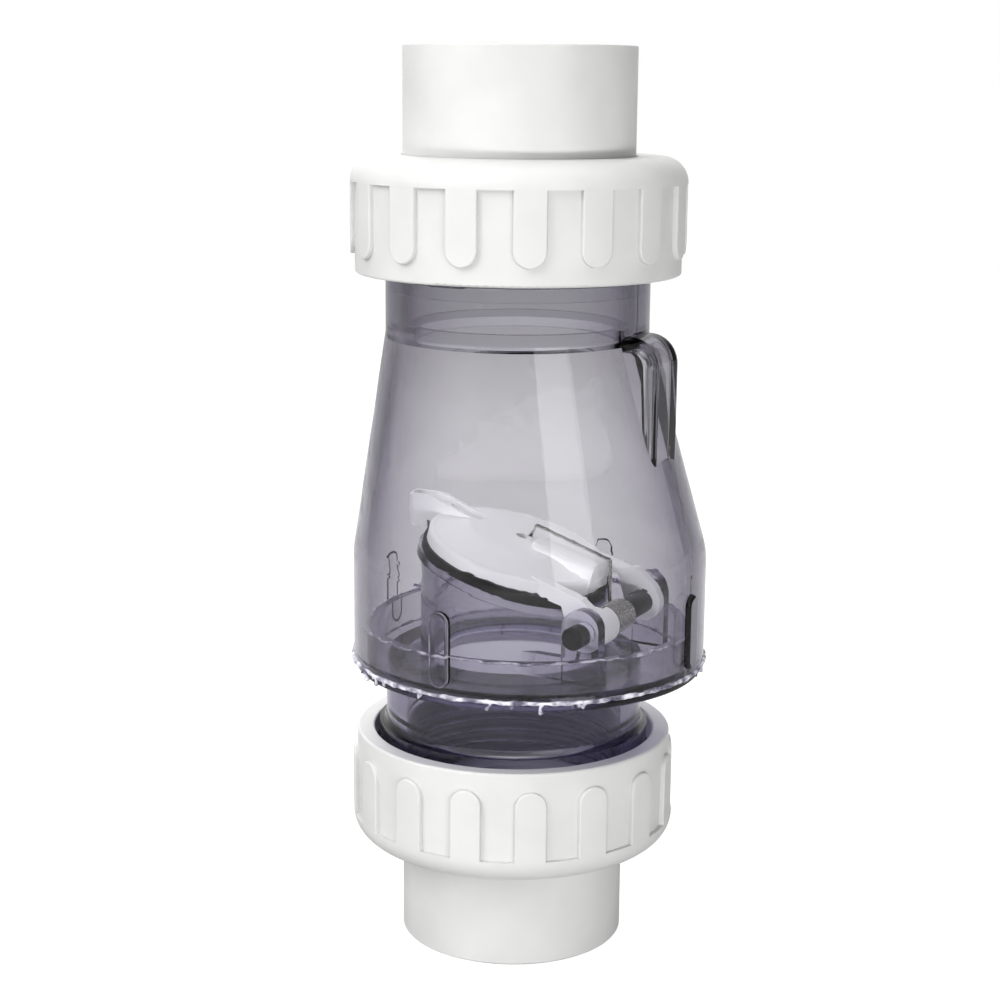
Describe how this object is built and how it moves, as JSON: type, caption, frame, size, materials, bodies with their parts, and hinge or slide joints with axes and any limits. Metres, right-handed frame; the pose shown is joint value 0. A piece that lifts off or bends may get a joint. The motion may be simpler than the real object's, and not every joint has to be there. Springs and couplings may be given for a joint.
{
  "type": "swing check valve",
  "caption": "Clear swing check valve with a hinged spring-loaded flapper, threaded union nuts and solvent-weld pipe sockets at both ends.",
  "frame": {"origin": "centre of the inlet socket's mouth, at the bottom of the valve", "axes": "+Z along the flow, from inlet to outlet; +X towards the side of the body that carries the flapper's hinge; Y along the hinge pin"},
  "size_m": [0.114, 0.114, 0.2811],
  "materials": {
    "white_pvc": "satin moulded plastic",
    "clear_pvc": "clear plastic with a faint violet tint",
    "cement": "dried solvent cement, glossy",
    "black_rubber": "matte",
    "black_plastic": "satin",
    "steel": "bright stainless"
  },
  "bodies": {
    "valve_body": {"valve_bell": "clear_pvc", "valve_base": "clear_pvc", "cement_bead": "cement", "hinge_pin": "black_plastic", "torsion_spring": "steel"},
    "flapper": {"flapper": "white_pvc", "flapper_seal": "black_rubber", "seal_washer": "steel", "seal_screw": "steel"},
    "outlet_connector": {"outlet_connector": "white_pvc", "outlet_o_ring": "black_rubber"},
    "outlet_nut": {"outlet_union_nut": "white_pvc"},
    "inlet_connector": {"inlet_connector": "white_pvc", "inlet_o_ring": "black_rubber"},
    "inlet_nut": {"inlet_union_nut": "white_pvc"}
  },
  "joints": [
    {"name": "flapper_hinge", "type": "hinge", "parent": "valve_body", "child": "flapper", "pos_m": [0.0364, 0, 0.1092], "axis": [0, 1, 0], "range_deg": [0, 66], "stiffness_Nm_per_rad": 0.052, "springref_deg": -89.95, "deforming": ["torsion_spring"]},
    {"name": "outlet_connector_slide", "type": "slide", "parent": "valve_body", "child": "outlet_connector", "axis": [0, 0, 1], "range_m": [0, 0.016]},
    {"name": "outlet_nut_turn", "type": "hinge", "parent": "outlet_connector", "child": "outlet_nut", "pos_m": [0, 0, 0.2361], "axis": [0, 0, 1], "range_deg": [0, 1440]},
    {"name": "inlet_connector_slide", "type": "slide", "parent": "valve_body", "child": "inlet_connector", "axis": [0, 0, -1], "range_m": [0, 0.016]},
    {"name": "inlet_nut_turn", "type": "hinge", "parent": "inlet_connector", "child": "inlet_nut", "pos_m": [0, 0, 0.045], "axis": [0, 0, -1], "range_deg": [0, 1440]}
  ],
  "couplings": [
    {"joint": "outlet_connector_slide", "follows": "outlet_nut_turn", "m_per_rad": 0.00063662},
    {"joint": "inlet_connector_slide", "follows": "inlet_nut_turn", "m_per_rad": 0.00063662}
  ]
}
